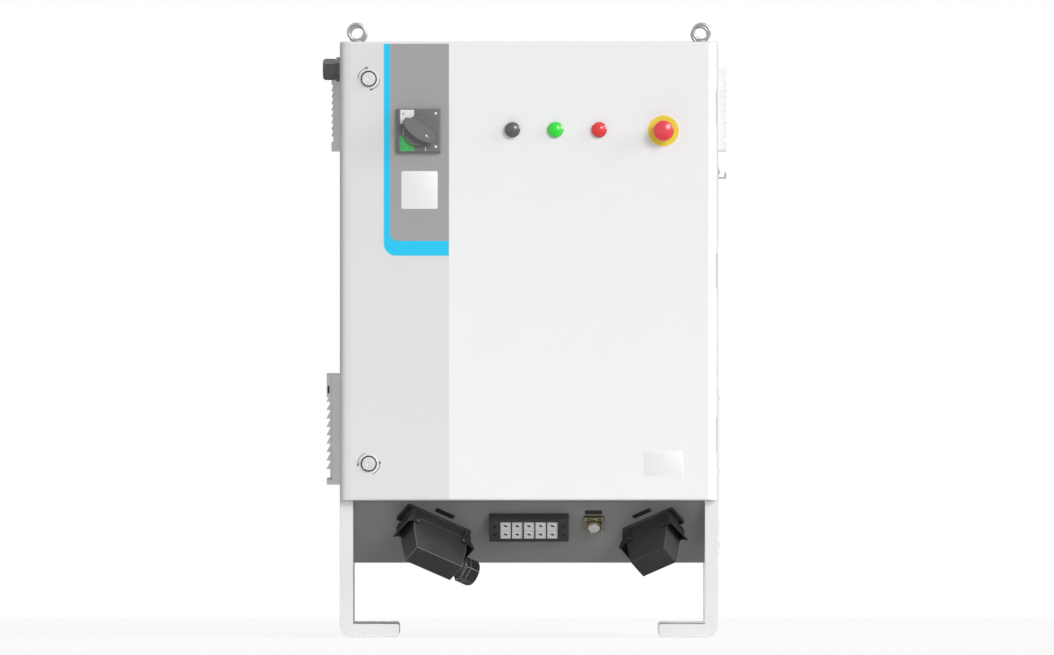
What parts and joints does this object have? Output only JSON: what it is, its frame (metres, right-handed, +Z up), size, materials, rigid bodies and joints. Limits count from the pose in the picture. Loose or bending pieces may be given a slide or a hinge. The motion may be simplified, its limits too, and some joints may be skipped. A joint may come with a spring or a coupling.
{
  "type": "robot controller cabinet",
  "caption": "Floor-standing robot controller cabinet with hinged front door, rotary switch, lamps, emergency stop, louvred vents, lifting eyes and a sloped connector bay.",
  "frame": {"origin": "floor level, at the centre of the four anchor holes in the feet", "axes": "+Z up, -Y out of the door, +X to the hinge side, seen from the front"},
  "size_m": [0.793, 0.545, 1.206],
  "materials": {
    "cabinet_paint": "fine-textured light grey powder coat",
    "bay_paint": "dark grey powder coat",
    "door_paint": "fine-textured off-white powder coat, light grey down the lock side",
    "vent_plastic": "matt light grey moulding",
    "fan_frame_plastic": "matt grey moulding",
    "filter_fibre": "open white fibre mat",
    "black_plastic": "matt black moulding",
    "gland_plastic": "semi-gloss black nylon",
    "zinc_steel": "bright zinc plate",
    "gasket_rubber": "foamed black rubber",
    "film_blue": "satin sky blue print",
    "film_grey": "satin grey print",
    "switch_plastic": "matt mid grey moulding",
    "lock_metal": "polished chrome plate",
    "operator_plastic": "matt black moulding",
    "lens_green": "glossy green translucent cap",
    "lens_red": "glossy red translucent cap",
    "button_black": "glossy black cap",
    "stop_yellow": "satin yellow ring",
    "stop_red": "glossy red mushroom",
    "plunger_plastic": "matt grey moulding",
    "breaker_plastic": "matt dark grey moulding",
    "drive_housing": "matt light grey housing",
    "controller_housing": "matt graphite housing",
    "device_plastic": "matt grey moulding",
    "duct_plastic": "matt grey trunking",
    "cast_housing": "dark grey powder-coated die casting",
    "lever_steel": "black-coated spring steel",
    "grommet_rubber": "light grey elastomer",
    "socket_nickel": "nickel-plated brass"
  },
  "bodies": {
    "cabinet": {"side_wall_left": "cabinet_paint", "side_wall_right": "cabinet_paint", "rear_panel": "cabinet_paint", "front_frame": "cabinet_paint", "legs": "cabinet_paint", "floor_panel": "cabinet_paint", "roof_panel": "cabinet_paint", "side_plate": "cabinet_paint", "bay_shell": "bay_paint", "connector_panel": "bay_paint", "vent_cover_left": "vent_plastic", "vent_cover_right": "vent_plastic", "fan_housing": "fan_frame_plastic", "filter_mats": "filter_fibre", "cable_entry_frame": "black_plastic", "gland_body": "gland_plastic", "gland_nut": "gland_plastic", "hood_gland": "gland_plastic", "lifting_eyes": "zinc_steel", "pendant_hook": "zinc_steel", "cabinet_hinges": "zinc_steel", "hinge_pins": "zinc_steel", "mounting_plate": "zinc_steel", "din_rails": "zinc_steel", "main_breaker": "breaker_plastic", "servo_drive": "drive_housing", "control_unit": "controller_housing", "rail_devices": "device_plastic", "wiring_ducts": "duct_plastic", "connector_housings": "cast_housing", "power_hood": "cast_housing", "signal_hood": "cast_housing", "cable_grommets": "grommet_rubber", "round_socket": "socket_nickel"},
    "door": {"door_panel": "door_paint", "door_gasket": "gasket_rubber", "door_stiffeners": "zinc_steel", "door_hinges": "zinc_steel", "fascia_blue": "film_blue", "fascia_grey": "film_grey", "switch_plate": "switch_plastic", "lock_housings": "lock_metal", "operator_bodies": "operator_plastic", "lamp_green": "lens_green", "lamp_red": "lens_red", "estop_ring": "stop_yellow"},
    "switch_grip": {"switch_handle": "switch_plastic"},
    "breaker_drive": {"breaker_shaft": "zinc_steel"},
    "upper_lock": {"lock_upper": "lock_metal"},
    "lower_lock": {"lock_lower": "lock_metal"},
    "button": {"push_button": "button_black"},
    "stop_plunger": {"estop_plunger": "plunger_plastic"},
    "stop_head": {"estop_head": "stop_red"},
    "fan": {"fan_rotor": "black_plastic"},
    "grille": {"fan_grille": "vent_plastic"},
    "grille_catch": {"fan_latch": "black_plastic"},
    "power_lever_l": {"power_lever_left": "lever_steel"},
    "power_lever_r": {"power_lever_right": "lever_steel"},
    "signal_lever_l": {"signal_lever_left": "lever_steel"},
    "signal_lever_r": {"signal_lever_right": "lever_steel"}
  },
  "joints": [
    {"name": "door_hinge", "type": "hinge", "parent": "cabinet", "child": "door", "pos_m": [0.3585, -0.254, 0.718], "axis": [0, 0, 1], "range_deg": [0, 115]},
    {"name": "switch_turn", "type": "hinge", "parent": "door", "child": "switch_grip", "pos_m": [-0.2156, -0.279, 0.993], "axis": [0, 1, 0], "range_deg": [-45, 45]},
    {"name": "breaker_drive_turn", "type": "hinge", "parent": "cabinet", "child": "breaker_drive", "pos_m": [-0.2156, 0.1, 0.993], "axis": [0, 1, 0], "range_deg": [-45, 45]},
    {"name": "upper_lock_turn", "type": "hinge", "parent": "door", "child": "upper_lock", "pos_m": [-0.3138, -0.25, 1.095], "axis": [0, 1, 0], "range_deg": [0, 90]},
    {"name": "lower_lock_turn", "type": "hinge", "parent": "door", "child": "lower_lock", "pos_m": [-0.3138, -0.25, 0.3406], "axis": [0, 1, 0], "range_deg": [-90, 0]},
    {"name": "button_press", "type": "slide", "parent": "door", "child": "button", "axis": [0, 1, 0], "range_m": [0, 0.0035], "stiffness_N_per_m": 700},
    {"name": "stop_press", "type": "slide", "parent": "door", "child": "stop_plunger", "axis": [0, 1, 0], "range_m": [0, 0.004]},
    {"name": "stop_twist", "type": "hinge", "parent": "stop_plunger", "child": "stop_head", "pos_m": [0.264, -0.285, 0.993], "axis": [0, 1, 0], "range_deg": [0, 45], "stiffness_Nm_per_rad": 0.05},
    {"name": "fan_spin", "type": "hinge", "parent": "cabinet", "child": "fan", "pos_m": [-0.356, -0.06, 0.4082], "axis": [1, 0, 0], "continuous": true},
    {"name": "grille_tilt", "type": "hinge", "parent": "cabinet", "child": "grille", "pos_m": [-0.3923, -0.06, 0.3037], "axis": [0, -1, 0], "range_deg": [0, 60]},
    {"name": "grille_catch_turn", "type": "hinge", "parent": "grille", "child": "grille_catch", "pos_m": [-0.3935, -0.06, 0.4727], "axis": [0, -1, 0], "range_deg": [0, 20], "stiffness_Nm_per_rad": 0.02},
    {"name": "power_lever_left_turn", "type": "hinge", "parent": "cabinet", "child": "power_lever_l", "pos_m": [-0.23788, -0.22338, 0.23358], "axis": [-0.5299, 0.5997, -0.5997], "range_deg": [0, 60]},
    {"name": "power_lever_right_turn", "type": "hinge", "parent": "cabinet", "child": "power_lever_r", "pos_m": [-0.13612, -0.17842, 0.18862], "axis": [0.5299, -0.5997, 0.5997], "range_deg": [0, 60]},
    {"name": "signal_lever_left_turn", "type": "hinge", "parent": "cabinet", "child": "signal_lever_l", "pos_m": [0.20499, -0.18216, 0.19236], "axis": [0.5299, 0.5997, -0.5997], "range_deg": [0, 60]},
    {"name": "signal_lever_right_turn", "type": "hinge", "parent": "cabinet", "child": "signal_lever_r", "pos_m": [0.28301, -0.21664, 0.22684], "axis": [-0.5299, -0.5997, 0.5997], "range_deg": [0, 60]}
  ],
  "couplings": [
    {"joint": "breaker_drive_turn", "follows": "switch_turn", "ratio": 1}
  ]
}
